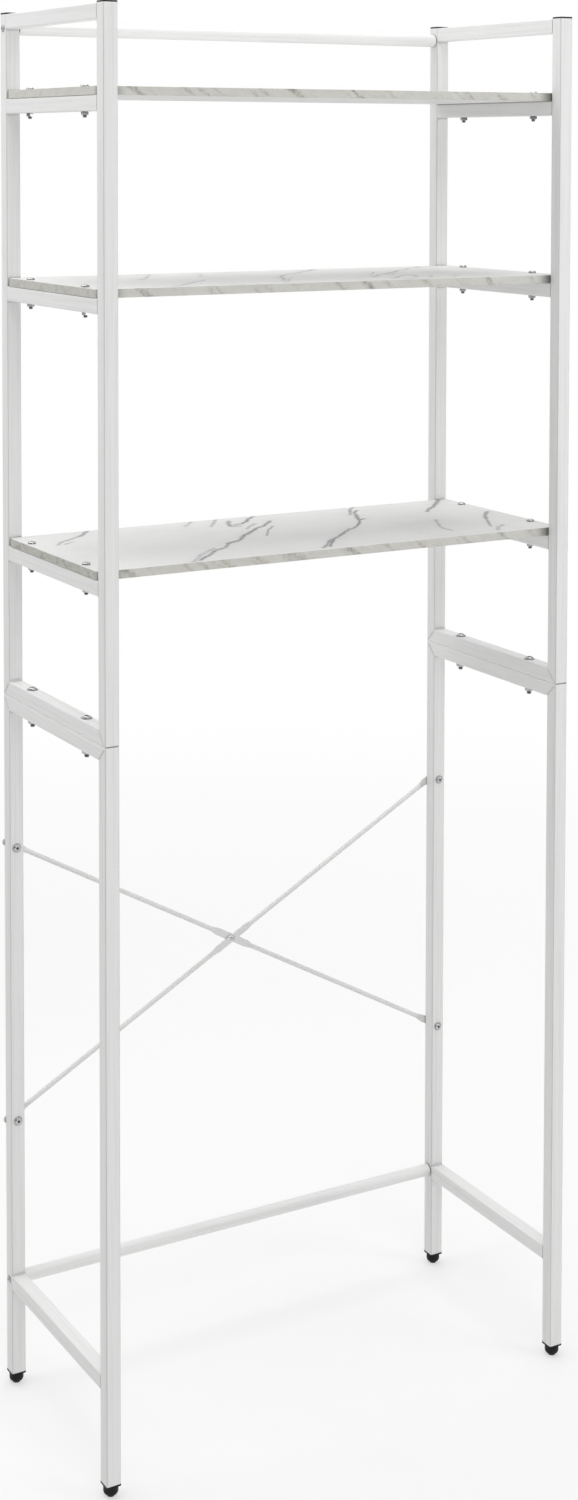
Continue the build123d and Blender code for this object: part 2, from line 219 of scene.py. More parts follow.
def new_material(name):
    """Empty material and its graph."""
    material = bpy.data.materials.new(name)
    material.use_nodes = True
    material.node_tree.nodes.clear()
    return material, Graph(material.node_tree)


def surface(graph, **inputs):
    """Principled shader as the material's surface. Underscores in the names stand for spaces."""
    named = {key.replace("_", " "): value for key, value in inputs.items()}
    shader = graph.add("BsdfPrincipled", named)
    graph.add("OutputMaterial", {"Surface": shader.outputs[0]})


def powder_coat(name, grain, tone, joint):
    """White satin powder coat with orange peel, and faint streaks along the tube that are painted
    reflections.
    Its tone is 1 where it is white and less where it is greyer. Painted shade greys a tube's
    upright corners, the joint's groove on front and back faces, and the inside corners and gaps
    between tubes; a painted highlight lightens the joint's groove on the sides."""
    material, graph = new_material(name)
    place = graph.place()
    normal = graph.add("TexCoord", {}).outputs["Normal"]
    facing_up = graph.add("SeparateXYZ", {0: normal}).outputs[2]
    level = graph.add("SeparateXYZ", {0: graph.vector("ABSOLUTE", normal)}).outputs
    flat = graph.math("MAXIMUM", graph.math("MAXIMUM", level[0], level[1]), level[2])
    # Painted shade: the rounded upright corners are drawn greyer, where they turn from the light.
    upright = graph.smooth(graph.math("ABSOLUTE", facing_up), 0.25, 0.0)
    corner = graph.math("MULTIPLY", graph.smooth(flat, 0.995, 0.88), upright)
    cloud = graph.noise(place, 0.09, 3.0)
    fine = graph.noise(place, 0.006, 4.0, 0.6)
    drawn = graph.noise(graph.vector("MULTIPLY", place, grain), 0.0035, 3.0, 0.6)
    white = graph.mix(cloud, (0.83, 0.835, 0.83, 1), (0.875, 0.875, 0.865, 1))
    toned = graph.mix(1 - tone, white, BLACK)
    # Painted reflection: soft streaks along the tube stand in for the studio's reflections on the
    # coat.
    streak_reflected = graph.mix(graph.smooth(drawn, 0.42, 0.68, 0.0, 0.35), toned, (0.70, 0.70, 0.695, 1))
    speckle = graph.smooth(fine, 0.62, 0.80, 0.0, 0.10)
    worn = graph.mix(speckle, streak_reflected, (0.66, 0.655, 0.64, 1))
    painted_corner_shade = graph.math("MULTIPLY", corner, 0.55)
    corner_shaded = graph.mix(painted_corner_shade, worn, (0.50, 0.505, 0.50, 1))
    above = graph.math("SUBTRACT", graph.add("SeparateXYZ", {0: place}).outputs[2], joint)
    away = graph.math("ABSOLUTE", above)
    elsewhere = graph.smooth(away, 0.0018, 0.0030)
    faint = graph.math("MULTIPLY", elsewhere, 0.40)
    # Painted shade: darker in inside corners and deep in the gaps between tubes, away from the
    # joint.
    painted_corner_shadow = graph.math("MULTIPLY", graph.crevice(0.004, 0.85, 0.40), faint)
    corner_shadowed = graph.mix(painted_corner_shadow, corner_shaded, (0.30, 0.30, 0.30, 1))
    gap = graph.math("MULTIPLY", graph.crevice(0.002, 0.40, 0.10), elsewhere)
    gap_shaded = graph.mix(gap, corner_shadowed, (0.34, 0.34, 0.34, 1))
    # Painted shade: a grey band just above the joint on front and back faces, where the joint's
    # groove lies in shade.
    over = graph.smooth(above, -0.0004, 0.0)
    edge = graph.math("MULTIPLY", over, graph.smooth(above, 0.0019, 0.0013))
    painted_joint_shade = graph.math("MULTIPLY", edge, graph.smooth(level[1], 0.25, 0.5))
    joint_shaded = graph.mix(painted_joint_shade, gap_shaded, (0.38, 0.38, 0.37, 1))
    # Painted light: the joint's groove is drawn lighter on the side faces, against the groove's own
    # shade.
    sideways = graph.smooth(level[0], 0.10, 0.40)
    painted_side_light = graph.math("MULTIPLY", graph.smooth(away, 0.0020, 0.0006), sideways)
    colour = graph.mix(painted_side_light, joint_shaded, (0.89, 0.89, 0.88, 1))
    peel = graph.noise(place, 0.0016, 2.0, 0.45)
    grit = graph.noise(place, 0.00035, 2.0)
    height = graph.math("MULTIPLY_ADD", grit, 0.2, peel)
    gloss = graph.math("MULTIPLY_ADD", cloud, 0.10, 0.30)
    roughness = graph.math("MULTIPLY_ADD", fine, 0.08, gloss)
    surface(graph, Base_Color=colour, Roughness=roughness, IOR=1.5,
            Normal=graph.bump(height, 0.00006, 0.8))
    return material


def vein_group():
    """Node group: how far a point is from a straight piece of vein, in widths of that vein.
    It is never less than the vein's faintness, so that a faint vein has no dark core."""
    tree = bpy.data.node_groups.new("vein", "ShaderNodeTree")
    inputs = {"Point": "Vector", "Start": "Vector", "End": "Vector",
              "Width": "Float", "Faint": "Float"}
    for name, kind in inputs.items():
        tree.interface.new_socket(name, in_out="INPUT", socket_type="NodeSocket" + kind)
    tree.interface.new_socket("Distance", in_out="OUTPUT", socket_type="NodeSocketFloat")
    graph = Graph(tree)
    given = tree.nodes.new("NodeGroupInput").outputs
    along = graph.vector("SUBTRACT", given["End"], given["Start"])
    offset = graph.vector("SUBTRACT", given["Point"], given["Start"])
    reach = graph.vector("DOT_PRODUCT", offset, along, output=1)
    length = graph.vector("DOT_PRODUCT", along, along, output=1)
    share = graph.add("Clamp", {0: graph.math("DIVIDE", reach, length)}).outputs[0]
    scaled = graph.add("VectorMath", {0: along, "Scale": share}, operation="SCALE").outputs[0]
    distance = graph.vector("DISTANCE", offset, scaled, output=1)
    result = graph.math("MAXIMUM", graph.math("DIVIDE", distance, given["Width"]), given["Faint"])
    taken = tree.nodes.new("NodeGroupOutput")
    graph.feed(taken.inputs[0], result)
    return tree


# How far the fine wandering of the veins is drawn out from the front to the back of a board
DRAWN = (1.0, 0.3, 1.0)
# How each board is cut from the printed sheet: turned, moved, and how bold the print is there; the
# same number darkens the board's paper as painted shade
CUTS = {
    "lower": (0.0, (0, 0, 0), 1.0),
    "middle": (pi, (0.11, 0.03, 0), 0.45),
    "upper": (0.0, (-0.17, -0.05, 0), 0.7),
}
# Veins of the printed marble: half width in metres, faintness, then points from the board's middle
VEINS = (
    (0.0042, 0.30, (-0.197, 0.138), (-0.206, 0.134), (-0.216, 0.126), (-0.228, 0.110),
     (-0.240, 0.096)),
    (0.0028, 0.40, (-0.212, 0.142), (-0.224, 0.132)),
    (0.0036, 0.45, (-0.240, 0.096), (-0.259, 0.082), (-0.273, 0.072), (-0.288, 0.054)),
    (0.0028, 0.55, (-0.264, 0.064), (-0.278, 0.054)),
    (0.0046, 0.20, (-0.186, -0.118), (-0.165, -0.099), (-0.140, -0.071), (-0.121, -0.058)),
    (0.0040, 0.60, (-0.196, -0.122), (-0.168, -0.088), (-0.134, -0.056)),
    (0.0036, 0.30, (-0.121, -0.058), (-0.105, -0.038)),
    (0.0050, 0.00, (-0.106, -0.038), (-0.078, -0.018), (-0.058, 0.006), (-0.024, 0.040)),
    (0.0042, 0.00, (-0.024, 0.040), (-0.004, 0.057), (0.021, 0.084)),
    (0.0024, 0.35, (0.004, 0.049), (-0.014, 0.026), (-0.036, -0.009)),
    (0.0030, 0.45, (-0.034, 0.046), (-0.020, 0.062), (-0.006, 0.076)),
    (0.0046, 0.15, (0.008, 0.138), (-0.012, 0.133)),
    (0.0048, 0.30, (-0.027, 0.108), (-0.036, 0.090), (-0.042, 0.074), (-0.030, 0.069)),
    (0.0042, 0.10, (-0.032, 0.080), (-0.021, 0.083), (-0.008, 0.095), (0.003, 0.110),
     (0.018, 0.125)),
    (0.0032, 0.50, (-0.066, 0.082), (-0.051, 0.104), (-0.032, 0.133), (-0.022, 0.139)),
    (0.0030, 0.58, (-0.092, 0.100), (-0.075, 0.122), (-0.064, 0.133)),
    (0.0040, 0.25, (-0.019, -0.116), (-0.006, -0.102), (0.004, -0.090), (0.023, -0.069)),
    (0.0038, 0.05, (-0.008, -0.112), (0.013, -0.086), (0.027, -0.066), (0.042, -0.055),
     (0.058, -0.038), (0.078, -0.015)),
    (0.0034, 0.10, (0.076, -0.020), (0.086, -0.014), (0.097, -0.002), (0.112, 0.014),
     (0.124, 0.034)),
    (0.0044, 0.10, (0.135, 0.040), (0.124, 0.035), (0.140, 0.068), (0.150, 0.090),
     (0.162, 0.102)),
    (0.0034, 0.35, (0.136, 0.076), (0.156, 0.112), (0.176, 0.134)),
    (0.0050, 0.25, (0.326, 0.145), (0.314, 0.135), (0.299, 0.118), (0.283, 0.098)),
    (0.0046, 0.00, (0.283, 0.098), (0.267, 0.082), (0.250, 0.064), (0.238, 0.051)),
    (0.0030, 0.50, (0.213, -0.008), (0.201, -0.031), (0.188, -0.057), (0.184, -0.073),
     (0.186, -0.088)),
    (0.0042, 0.25, (0.306, 0.012), (0.287, -0.011), (0.276, -0.028)),
    (0.0028, 0.30, (0.276, -0.028), (0.264, -0.051), (0.252, -0.074), (0.245, -0.088)),
    (0.0040, 0.60, (0.264, -0.085), (0.251, -0.095), (0.237, -0.113)),
)


def marble_point(graph, place, middle, turn, shift):
    """Point on the printed sheet: each board is cut from another place of the same sheet."""
    local = graph.vector("SUBTRACT", place, tuple(middle))
    mapped = graph.add("Mapping", {"Vector": local, "Location": shift, "Rotation": (0, 0, turn)})
    parts = graph.add("SeparateXYZ", {0: mapped.outputs[0]}).outputs
    return graph.add("CombineXYZ", {"X": parts[0], "Y": parts[1]}).outputs[0]


def warped(graph, point, place, size, amount):
    """Point moved about by the noise at a place, so that straight pieces of vein wander."""
    wander = graph.vector("SUBTRACT", graph.noise(place, size, 2.0, output=1), (0.5, 0.5, 0.5))
    flat = graph.vector("MULTIPLY", wander, (amount, amount, 0))
    return graph.vector("ADD", point, flat)


def nearest_vein(graph, group, point):
    """How far a point is from the nearest vein, in widths of that vein."""
    nearest = None
    for width, faintness, *points in VEINS:
        for start, end in zip(points, points[1:]):
            stroke = graph.tree.nodes.new("ShaderNodeGroup")
            stroke.node_tree = group
            graph.feed(stroke.inputs["Point"], point)
            graph.feed(stroke.inputs["Start"], (*start, 0))
            graph.feed(stroke.inputs["End"], (*end, 0))
            graph.feed(stroke.inputs["Width"], width)
            graph.feed(stroke.inputs["Faint"], faintness)
            distance = stroke.outputs[0]
            nearest = distance if nearest is None else graph.math("MINIMUM", nearest, distance)
    return nearest


def marble_laminate(name, group, middle, turn, shift, boldness_and_shade):
    """White marble print: soft grey cloud, hairlines and the bold veins, under a low-gloss wear
    layer. The underside is plain."""
    material, graph = new_material(name)
    place = graph.place()
    normal = graph.add("TexCoord", {}).outputs["Normal"]
    printed = graph.smooth(graph.add("SeparateXYZ", {0: normal}).outputs[2], -0.5, 0.0)
    point = marble_point(graph, place, middle, turn, shift)
    drawn = graph.vector("MULTIPLY", point, DRAWN)
    wandering = warped(graph, warped(graph, point, drawn, 0.030, 0.007), drawn, 0.009, 0.0035)
    nearest = nearest_vein(graph, group, wandering)
    cloud = graph.noise(point, 0.110, 4.0, 0.55)
    broken = graph.noise(point, 0.022, 3.0, 0.6)
    hair_noise = graph.noise(warped(graph, point, point, 0.060, 0.05), 0.075, 5.0, 0.6)
    hair_distance = graph.math("ABSOLUTE", graph.math("SUBTRACT", hair_noise, 0.5))
    hair = graph.smooth(hair_distance, 0.012, 0.0, 0.0, 0.22)
    strand = graph.noise(drawn, 0.007, 3.0, 0.6)
    frayed = graph.math("MULTIPLY_ADD", graph.math("SUBTRACT", strand, 0.5), 0.9, nearest)
    body = graph.math("MULTIPLY", graph.smooth(frayed, 1.05, 0.35, 0.0, 0.85 * boldness_and_shade), printed)
    dark = graph.math("MULTIPLY", graph.smooth(frayed, 0.48, 0.05, 0.0, boldness_and_shade),
                      graph.smooth(broken, 0.30, 0.55, 0.55, 1.0))
    core = graph.math("MULTIPLY", dark, printed)
    halo = graph.math("MULTIPLY", graph.smooth(nearest, 5.0, 0.5),
                      graph.smooth(cloud, 0.35, 0.65, 0.05, 0.30))
    # Painted shade: each board's paper is drawn a different white, standing in for the light that
    # board gets.
    paper_with_shade = 0.89 - 0.105 * boldness_and_shade
    white = graph.mix(graph.smooth(cloud, 0.50, 0.80), (paper_with_shade, paper_with_shade, 0.985 * paper_with_shade, 1),
                      (0.94 * paper_with_shade, 0.94 * paper_with_shade, 0.935 * paper_with_shade, 1))
    shaded = graph.mix(halo, white, (0.64, 0.645, 0.65, 1))
    hairs = graph.math("MULTIPLY", hair, graph.smooth(cloud, 0.40, 0.60))
    threaded = graph.mix(hairs, shaded, (0.50, 0.51, 0.53, 1))
    veined = graph.mix(body, threaded, (0.40, 0.405, 0.415, 1))
    colour = graph.mix(core, veined, (0.155, 0.157, 0.165, 1))
    pore = graph.noise(place, 0.0009, 2.0)
    height = graph.math("MULTIPLY_ADD", core, -0.3, pore)
    sheen = graph.noise(place, 0.030, 3.0)
    roughness = graph.math("MULTIPLY_ADD", sheen, 0.10, 0.34)
    surface(graph, Base_Color=colour, Roughness=roughness, IOR=1.5,
            Normal=graph.bump(height, 0.00003, 0.7))
    return material


# Dark streaks along the front edge of each board: place from the middle, half width and darkness
STREAKS = {
    "lower": ((-0.283, 0.006, 0.9), (-0.206, 0.003, 0.5), (-0.185, 0.004, 0.6),
              (-0.153, 0.006, 0.8), (-0.110, 0.005, 0.6), (-0.065, 0.014, 0.6),
              (0.015, 0.006, 0.9), (0.066, 0.004, 0.5), (0.111, 0.004, 0.6),
              (0.180, 0.004, 0.5), (0.233, 0.006, 0.7), (0.275, 0.005, 0.4)),
    "middle": ((-0.260, 0.007, 0.9), (-0.175, 0.004, 0.5), (-0.004, 0.004, 0.6),
               (0.035, 0.007, 1.0), (0.120, 0.004, 0.6), (0.211, 0.005, 0.7),
               (-0.100, 0.005, 0.4)),
    "upper": ((-0.272, 0.006, 1.0), (-0.203, 0.004, 0.6), (-0.184, 0.003, 0.6),
              (-0.106, 0.004, 0.6), (-0.063, 0.007, 1.0), (0.019, 0.005, 0.9),
              (0.180, 0.004, 0.6), (0.224, 0.005, 0.7)),
}
STREAK_SLANT = 1.4
FRONT_DEPTH = 0.001            # the streaks end this far behind the front
# How much darker the short ends of each board are drawn, as painted shade; it also sets how
# strongly the ends are mottled
END_SHADE = {"lower": 0.55, "middle": 0.30, "upper": 0.05}


def edge_band(name, middle, front_y, streaks, end_shade):
    """Beige marble foil on the board's edge, with slanting brown and grey streaks."""
    material, graph = new_material(name)
    place = graph.place()
    local = graph.vector("SUBTRACT", place, tuple(middle))
    parts = graph.add("SeparateXYZ", {0: local}).outputs
    slanted = graph.math("MULTIPLY_ADD", parts[2], STREAK_SLANT, parts[0])
    wander = graph.noise(place, 0.014, 4.0, 0.65)
    along = graph.math("MULTIPLY_ADD", graph.math("SUBTRACT", wander, 0.5), 0.026, slanted)
    darkest = 0.0
    for where, width, darkness in streaks:
        away = graph.math("ABSOLUTE", graph.math("SUBTRACT", along, where))
        streak = graph.smooth(away, 1.5 * width, 0.0, 0.0, darkness)
        darkest = graph.math("MAXIMUM", darkest, streak)
    front = graph.smooth(parts[1], front_y + FRONT_DEPTH, front_y)
    placed = graph.math("MULTIPLY", darkest, front)
    sides = graph.math("ADD", parts[1], along)
    height = graph.math("MULTIPLY", parts[2], 0.5)
    stretched = graph.add("CombineXYZ", {"X": sides, "Y": height}).outputs[0]
    coarse = graph.noise(stretched, 0.026, 4.0, 0.65)
    random_streak = graph.smooth(coarse, 0.52, 0.70, 0.0, 0.55)
    fine = graph.smooth(graph.noise(stretched, 0.0045, 3.0, 0.6), 0.42, 0.75, 0.0, 0.40)
    broken = graph.smooth(graph.noise(place, 0.006, 4.0, 0.6), 0.38, 0.62, 0.30, 1.0)
    vein = graph.math("MAXIMUM", placed, random_streak)
    tone = graph.noise(place, 0.035, 2.0)
    beige = graph.mix(tone, (0.595, 0.590, 0.545, 1), (0.690, 0.680, 0.645, 1))
    normal = graph.add("TexCoord", {}).outputs["Normal"]
    sideways = graph.add("SeparateXYZ", {0: graph.vector("ABSOLUTE", normal)}).outputs[0]
    # Painted shade: the short ends are drawn darker by how the light falls on each board.
    ends = graph.smooth(sideways, 0.3, 0.9, 0.0, end_shade)
    base = graph.mix(ends, beige, (0.40, 0.40, 0.35, 1))
    smeared = graph.vector("MULTIPLY", place, (1.0, 0.45, 1.0))
    pale_noise = graph.noise(smeared, 0.008, 3.0, 0.6)
    light_mottle = graph.smooth(pale_noise, 0.50, 0.70, 0.0, 0.55)
    lighter = graph.mix(graph.math("MULTIPLY", light_mottle, ends), base, (0.72, 0.72, 0.68, 1))
    offset = graph.vector("SUBTRACT", smeared, tuple(middle))
    mottle = graph.smooth(graph.noise(offset, 0.006, 3.0, 0.6), 0.47, 0.66, 0.0, 0.80)
    mottled = graph.mix(graph.math("MULTIPLY", mottle, ends), lighter, (0.16, 0.158, 0.13, 1))
    grey = graph.mix(fine, mottled, (0.47, 0.46, 0.42, 1))
    warmth = graph.smooth(tone, 0.40, 0.60)
    brown = graph.mix(warmth, (0.33, 0.30, 0.235, 1), (0.26, 0.255, 0.230, 1))
    streaked = graph.mix(graph.math("MULTIPLY", vein, broken), grey, brown)
    # Painted shade: darker where the band lies close to rails and posts, as in the shadow line
    # under the board.
    near = graph.crevice(0.022, 0.94, 0.52)
    colour = graph.mix(near, streaked, (0.10, 0.098, 0.085, 1))
    pore = graph.noise(place, 0.0008, 2.0)
    roughness = graph.math("MULTIPLY_ADD", fine, 0.15, 0.42)
    surface(graph, Base_Color=colour, Roughness=roughness, IOR=1.48,
            Normal=graph.bump(pore, 0.00003, 0.8))
    return material


def zinc_plate():
    """Bright zinc plate: fine scratches, cloudy gloss and a little dullness in patches."""
    material, graph = new_material("zinc_plate")
    place = graph.place()
    cloud = graph.noise(place, 0.0035, 3.0, 0.6)
    stretched = graph.vector("MULTIPLY", place, (1.0, 9.0, 3.0))
    scratch = graph.noise(stretched, 0.0012, 4.0, 0.7)
    bright = graph.mix(cloud, (0.50, 0.51, 0.53, 1), (0.66, 0.66, 0.65, 1))
    # Painted shade: darker in hollows and where a nut or head sits against a tube.
    colour = graph.mix(graph.crevice(0.005, 0.85, 0.35), bright, (0.06, 0.06, 0.065, 1))
    roughness = graph.smooth(scratch, 0.30, 0.75, 0.14, 0.32)
    surface(graph, Base_Color=colour, Metallic=1.0, Roughness=roughness,
            Normal=graph.bump(scratch, 0.00001, 0.5))
    return material


def black_plastic():
    """Black moulded plastic with a fine spark-eroded texture and faint flow marks."""
    material, graph = new_material("black_moulded_plastic")
    place = graph.place()
    grain = graph.noise(place, 0.0009, 3.0, 0.65)
    flow = graph.noise(graph.vector("MULTIPLY", place, (1.0, 1.0, 0.25)), 0.006, 3.0, 0.6)
    colour = graph.mix(flow, (0.004, 0.004, 0.0045, 1), (0.020, 0.020, 0.021, 1))
    roughness = graph.smooth(flow, 0.30, 0.70, 0.30, 0.60)
    surface(graph, Base_Color=colour, Roughness=roughness, IOR=1.49, Specular_IOR_Level=0.2,
            Normal=graph.bump(grain, 0.00016, 0.9))
    return material


def studio_floor():
    """Pale matt floor that fades to plain white far from the rack."""
    material, graph = new_material("studio_floor")
    place = graph.place()
    distance = graph.vector("LENGTH", place, output=1)
    near = graph.noise(place, 0.05, 3.0)
    pale = graph.mix(near, (0.90, 0.90, 0.90, 1), (0.93, 0.93, 0.925, 1))
    shader = graph.add("BsdfPrincipled", {"Base Color": pale, "Roughness": 0.9})
    seen = graph.add("LightPath", {}).outputs["Is Camera Ray"]
    brightness = graph.smooth(seen, 0.0, 1.0, 0.75, 1.0)
    glow = graph.add("Emission", {"Color": WHITE, "Strength": brightness})
    far = graph.smooth(distance, 0.5, 3.5, 0.50, 1.0)
    mixed = graph.add("MixShader", {0: far, 1: shader.outputs[0], 2: glow.outputs[0]})
    graph.add("OutputMaterial", {"Surface": mixed.outputs[0]})
    return material


def ring(radius, z):
    """Ring of points round the Z axis. The radius is a number or a function of the angle."""
    points = []
    for step in range(RING):
        angle = 2 * pi * step / RING
        reach = radius(angle) if callable(radius) else radius
        points.append(Vector((reach * cos(angle), reach * sin(angle), z)))
    return points


def hexagon(flats):
    """Radius of a hexagon in each direction, corners at 0 and every 60 degrees."""
    return lambda angle: flats / 2 / cos(angle % (pi / 3) - pi / 6)


def thread(crest, pitch, z, depth):
    """Radius of a right-hand thread at a height, in each direction. A depth of 1 is full."""
    groove = THREAD_DEPTH * pitch * depth

    def radius(angle):
        phase = (z / pitch - angle / (2 * pi)) % 1.0
        slope = min(1.0, max(0.0, (abs(2 * phase - 1) - THREAD_FLAT) / (1 - 2 * THREAD_FLAT)))
        return crest - groove * (1 - slope)
    return radius


def threaded_rings(crest, pitch, low, high, chamfer):
    """Rings up a threaded rod from its chamfered tip, the thread running out at the top."""
    count = int(round((high - low) / pitch * THREAD_RINGS))
    rings = []
    for step in range(count + 1):
        z = low + (high - low) * step / count
        run_out = min(1.0, (high - z) / pitch)
        cut = thread(crest, pitch, z, run_out)
        tip = crest - chamfer + (z - low)
        rings.append(ring(lambda angle: min(cut(angle), tip), z))
    return rings


def brim_rings(radius, height):
    """Edge of a head or of the brim under it, its upper rim rounded."""
    return [ring(radius - SOCKET_LIP, 0.0),
            ring(radius, SOCKET_LIP),
            ring(radius, height - 2 * SOCKET_LIP),
            ring(radius - SOCKET_LIP, height - 0.5 * SOCKET_LIP),
            ring(radius - 3 * SOCKET_LIP, height)]


def screw_rings(size, length):
    """One screw, head up and its underside at Z = 0: tail, shank, domed head and key socket."""
    head, height, key = size["head"], size["height"], size["key"]
    rings = threaded_rings(size["radius"], size["pitch"], -length, TAIL - length, HEAD_RIM)
    rings.append(ring(size["radius"], 0.0))
    rings += brim_rings(size["brim"] or head, BRIM_HEIGHT if size["brim"] else HEAD_RIM)
    rings.append(ring(head, HEAD_RIM + SOCKET_LIP))
    for step in range(1, DOME_STEPS + 1):
        turn = pi / 2 * step / DOME_STEPS
        radius = head * (DOME_TOP + (1 - DOME_TOP) * cos(turn))
        rings.append(ring(radius, HEAD_RIM + (height - HEAD_RIM) * sin(turn)))
    socket_floor = SOCKET_FLOOR * height
    rings.append(ring(hexagon(key + 2 * SOCKET_LIP), height))
    rings.append(ring(hexagon(key), height - SOCKET_LIP))
    rings.append(ring(hexagon(key), socket_floor))
    rings.append(ring(key * SOCKET_POINT[0], socket_floor - key * SOCKET_POINT[1]))
    return rings


def nut_rings(size):
    """One hexagon nut standing on Z = 0, its corners turned off and its bore countersunk."""
    flats, height, bore = size["flats"], size["height"], size["bore"]
    face = NUT_FACE * flats
    turned = NUT_TURNED * flats
    countersink = COUNTERSINK * flats
    steps = 6
    lower = []
    for step in range(steps + 1):
        z = turned * step / steps
        cone = face + z / NUT_SLOPE
        lower.append((z, lambda angle, cone=cone: min(hexagon(flats)(angle), cone)))
    rings = [ring(bore + countersink, 0.0)]
    rings += [ring(radius, z) for z, radius in lower]
    rings += [ring(radius, height - z) for z, radius in reversed(lower)]
    rings.append(ring(bore + countersink, height))
    rings.append(ring(bore, height - countersink))
    rings.append(ring(bore, countersink))
    return rings


def stud_rings(low, high):
    """Threaded stud with its collar at the bottom."""
    collar_top = low + COLLAR_HEIGHT
    rings = [ring(COLLAR_RADIUS - COLLAR_EDGE, low),
             ring(COLLAR_RADIUS, low + COLLAR_EDGE),
             ring(COLLAR_RADIUS, collar_top - COLLAR_EDGE),
             ring(COLLAR_RADIUS - COLLAR_EDGE, collar_top)]
    up = threaded_rings(STUD_RADIUS, STUD_PITCH, -high, -collar_top - STUD_PITCH, HEAD_RIM)
    rings.append(ring(STUD_RADIUS, collar_top))
    rings += [[Vector((p.x, p.y, -p.z)) for p in level] for level in reversed(up)]
    return rings


def rivet_rings(radius, head, height, half):
    """Rivet with a domed head at both ends and a slight dimple in each."""
    steps = 8
    upper = []
    for step in range(steps + 1):
        turn = pi / 2 * step / steps
        reach = head * (RIVET_TOP + (1 - RIVET_TOP) * cos(turn))
        upper.append((reach, half + height * sin(turn)))
    upper.append((head * RIVET_DIMPLE[0], half + height * RIVET_DIMPLE[1]))
    profile = [(r, -z) for r, z in reversed(upper)] + [(radius, -half), (radius, half)] + upper
    return [ring(r, z) for r, z in profile]


def weld_rings(length, seed):
    """Fillet weld along X between two faces: Y leaves the post and Z leaves the rail."""
    count = int(length / WELD_RIPPLE * BEAD_STEPS)
    rings = []
    for step in range(count + 1):
        share = step / count
        x = (share - 0.5) * length
        ripple = 1 + WELD_RIPPLED * cos(2 * pi * x / WELD_RIPPLE)
        lump = 1 + WELD_LUMPS[1] * noise.noise(Vector((x * WELD_LUMPS[0], seed, 0.5)))
        end = min(1.0, WELD_START[0] + WELD_START[1] * min(share, 1 - share))
        leg = WELD_LEG * ripple * lump * end
        points = [(-WELD_SINK, -WELD_SINK), (leg, -WELD_SINK)]
        for turn in range(BEAD_SIDES + 1):
            angle = pi / 2 * turn / BEAD_SIDES
            reach = leg * (1 - WELD_HOLLOW + WELD_HOLLOW * abs(cos(2 * angle)))
            points.append((reach * cos(angle), reach * sin(angle)))
        points.append((-WELD_SINK, leg))
        rings.append([Vector((x, y, z)) for y, z in points])
    return rings


def seam_rings(length, seed):
    """Low, rippled weld seam along X, standing on Z = 0."""
    rings = []
    steps = int(length / WELD_RIPPLE * BEAD_STEPS)
    for step in range(steps + 1):
        x = (step / steps - 0.5) * length
        end = min(1.0, SEAM_START[0] + SEAM_START[1] * min(step, steps - step) / steps)
        ripple = 1 + SEAM_RIPPLED * cos(2 * pi * x / WELD_RIPPLE)
        lump = 1 + SEAM_LUMPS[1] * noise.noise(Vector((x * SEAM_LUMPS[0], seed, 0.5)))
        width = SEAM_HALF * end * lump
        height = SEAM_HEIGHT * end * ripple
        turns = [pi * turn / BEAD_SIDES for turn in range(BEAD_SIDES + 1)]
        points = [(width * cos(turn), height * sin(turn)) for turn in turns]
        points.append((0.0, -SEAM_HEIGHT))
        rings.append([Vector((x, y, z)) for y, z in points])
    return rings


def add_shell(mesh, rings, matrix, wrap):
    """Closed shell through the rings, which is a tube closed by caps or, wrapped, a torus."""
    levels = [[mesh.verts.new(matrix @ point) for point in level] for level in rings]
    pairs = list(zip(levels, levels[1:]))
    if wrap:
        pairs.append((levels[-1], levels[0]))
    for low, high in pairs:
        for step in range(len(low)):
            after = (step + 1) % len(low)
            mesh.faces.new((low[step], low[after], high[after], high[step]))
    if not wrap:
        mesh.faces.new(list(reversed(levels[0])))
        mesh.faces.new(levels[-1])


def piece(name, shells, material, body, stands_for=(), wrap=False, sharp=32):
    """Object made of shells, each a stack of rings and where it goes, riding on a body."""
    mesh = bmesh.new()
    for rings, matrix in shells:
        add_shell(mesh, rings, matrix, wrap)
    bmesh.ops.recalc_face_normals(mesh, faces=mesh.faces)
    data = bpy.data.meshes.new(name)
    mesh.to_mesh(data)
    mesh.free()
    data.shade_smooth()
    data.set_sharp_from_angle(angle=radians(sharp))
    data.materials.append(material)
    made = bpy.data.objects.new(name, data)
    bpy.context.scene.collection.objects.link(made)
    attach(made, body)
    if stands_for:
        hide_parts(*stands_for)


def middle_of(node):
    """Middle of a CAD node's box."""
    low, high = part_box(node)
    return (low + high) / 2


def facing(direction):
    """Rotation that turns +Z to a direction."""
    return Vector(direction).to_track_quat("Z", "Y").to_matrix().to_4x4()


def at(place, direction=(0, 0, 1), spin=0.0):
    """Matrix that spins a piece about Z, turns +Z to a direction and moves it to a place."""
    turned = facing(direction) @ Matrix.Rotation(spin, 4, "Z")
    return Matrix.Translation(place) @ turned


def rail_screw_places(node, head):
    """X and Y of the two screws over each side, from the box of a whole group of screws."""
    low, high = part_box(node)
    ys = (low.y + head, high.y - head)
    xs = [middle_of(f"upper_{side}_front_post").x for side in SIDES]
    return [(x, y) for x in xs for y in ys]


def spin_for(index):
    """Each fastener was tightened to a different angle."""
    return 0.7 * index + 0.4 * sin(3.1 * index)


